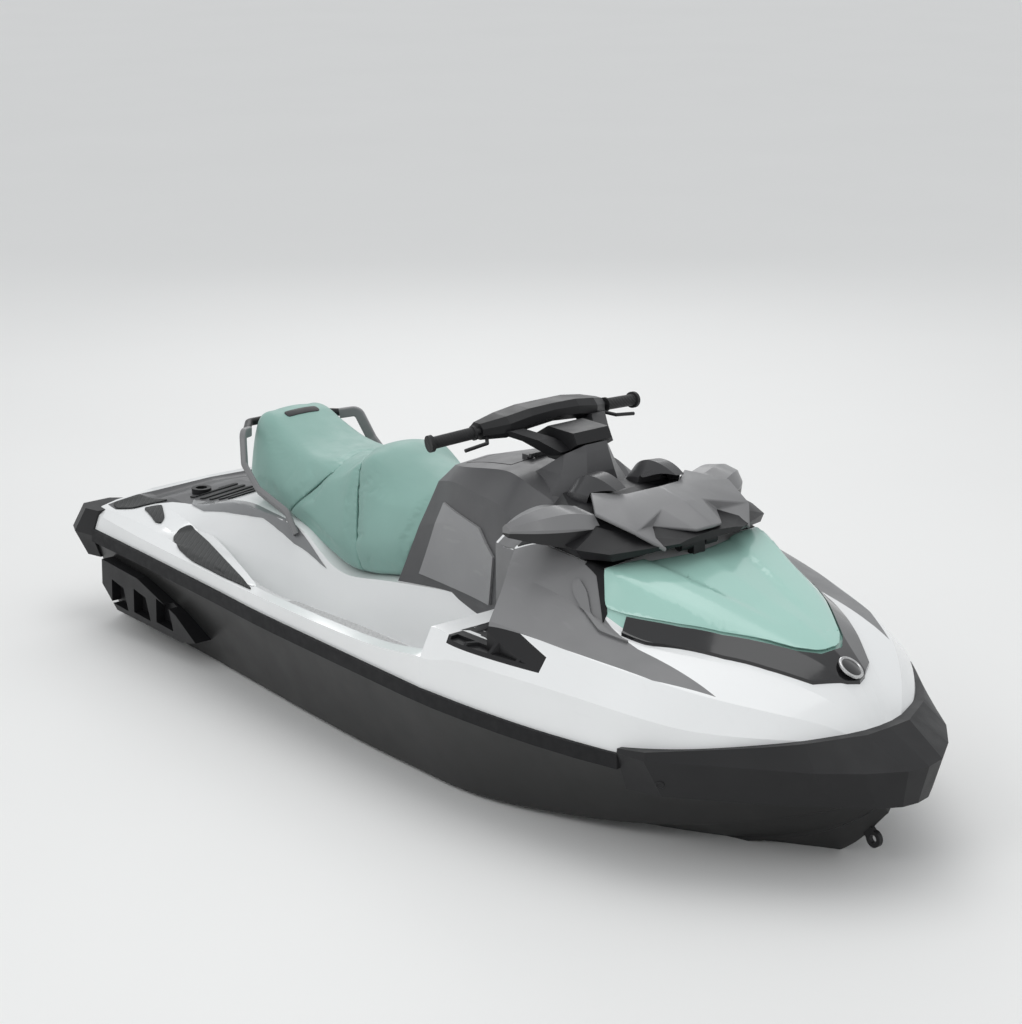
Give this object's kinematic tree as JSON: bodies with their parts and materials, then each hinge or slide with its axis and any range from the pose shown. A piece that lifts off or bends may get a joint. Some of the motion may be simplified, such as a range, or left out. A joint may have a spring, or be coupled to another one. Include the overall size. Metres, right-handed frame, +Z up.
{
  "type": "personal watercraft",
  "caption": "Three-seat personal watercraft with a V hull, jet pump, steering nozzle, reverse gate, opening front storage, glovebox and cushioned seat.",
  "frame": {"origin": "amidships on the centreline at the waterline, 1.65 m ahead of the stern", "axes": "+X forward, +Y to port, +Z up"},
  "size_m": [3.451, 1.251, 1.1661],
  "materials": {
    "hull_gelcoat": "satin charcoal gelcoat",
    "white_gelcoat": "gloss white gelcoat",
    "teal_paint": "gloss pale teal paint",
    "grey_panel": "satin mid grey moulding",
    "dark_panel": "satin dark grey moulding",
    "black_rubber": "matt black rubber",
    "bumper_plastic": "fine grained charcoal moulding",
    "seat_vinyl": "pale teal marine vinyl",
    "black_plastic": "fine grained black moulding",
    "gloss_black": "gloss black moulding",
    "grip_rubber": "ribbed black rubber",
    "steel": "brushed stainless",
    "pump_aluminium": "cast, satin",
    "engine_iron": "painted cast block"
  },
  "bodies": {
    "craft": {"hull": "hull_gelcoat", "deck": "white_gelcoat", "hood": "teal_paint", "hood_surround": "dark_panel", "nose_trim": "gloss_black", "side_panels": "grey_panel", "rear_platform": "dark_panel", "rub_rails": "black_rubber", "bow_bumper": "bumper_plastic", "stern_bumpers": "bumper_plastic", "seat_rear": "seat_vinyl", "seat_middle": "seat_vinyl", "seat_front": "seat_vinyl", "console": "dark_panel", "knee_panels": "grey_panel", "neck_cowl": "dark_panel", "lid_hinge": "steel", "side_vents": "black_plastic", "pump_housing": "pump_aluminium", "venturi": "pump_aluminium", "ride_plate": "pump_aluminium", "intake_grate": "steel", "sponsons": "black_plastic", "grab_rails": "grey_panel", "rear_handle": "black_plastic", "cargo_sockets": "black_plastic", "bow_eye": "steel", "stern_eyes": "steel", "engine_block": "engine_iron"},
    "steering": {"yoke": "black_plastic", "handlebar": "steel", "grips": "grip_rubber", "levers": "black_plastic"},
    "front_lid": {"storage_lid": "black_plastic", "deflector": "grey_panel", "gauge_cowls": "dark_panel", "mirror_pods": "grey_panel"},
    "glove_lid": {"glovebox_lid": "dark_panel"},
    "impeller": {"impeller": "steel"},
    "nozzle": {"steering_nozzle": "pump_aluminium"},
    "gate": {"reverse_gate": "black_plastic"}
  },
  "joints": [
    {"name": "steering", "type": "hinge", "parent": "craft", "child": "steering", "pos_m": [0.44, 0, 0.89], "axis": [-0.5592, 0, 0.829], "range_deg": [-22, 22]},
    {"name": "nozzle_yaw", "type": "hinge", "parent": "craft", "child": "nozzle", "pos_m": [-1.52, 0, 0.045], "axis": [0, 0, 1], "range_deg": [-20, 20]},
    {"name": "reverse", "type": "hinge", "parent": "craft", "child": "gate", "pos_m": [-1.53, 0, 0.045], "axis": [0, -1, 0], "range_deg": [0, 70]},
    {"name": "impeller_spin", "type": "hinge", "parent": "craft", "child": "impeller", "pos_m": [-1.25, 0, 0.045], "axis": [1, 0, 0], "continuous": true},
    {"name": "front_lid_hinge", "type": "hinge", "parent": "craft", "child": "front_lid", "pos_m": [0.94, 0, 0.74], "axis": [0, 1, 0], "range_deg": [0, 50]},
    {"name": "glove_lid_hinge", "type": "hinge", "parent": "craft", "child": "glove_lid", "pos_m": [0.286, 0, 0.8648], "axis": [0, 1, 0], "range_deg": [0, 50]}
  ],
  "couplings": [
    {"joint": "nozzle_yaw", "follows": "steering", "ratio": -0.9}
  ]
}
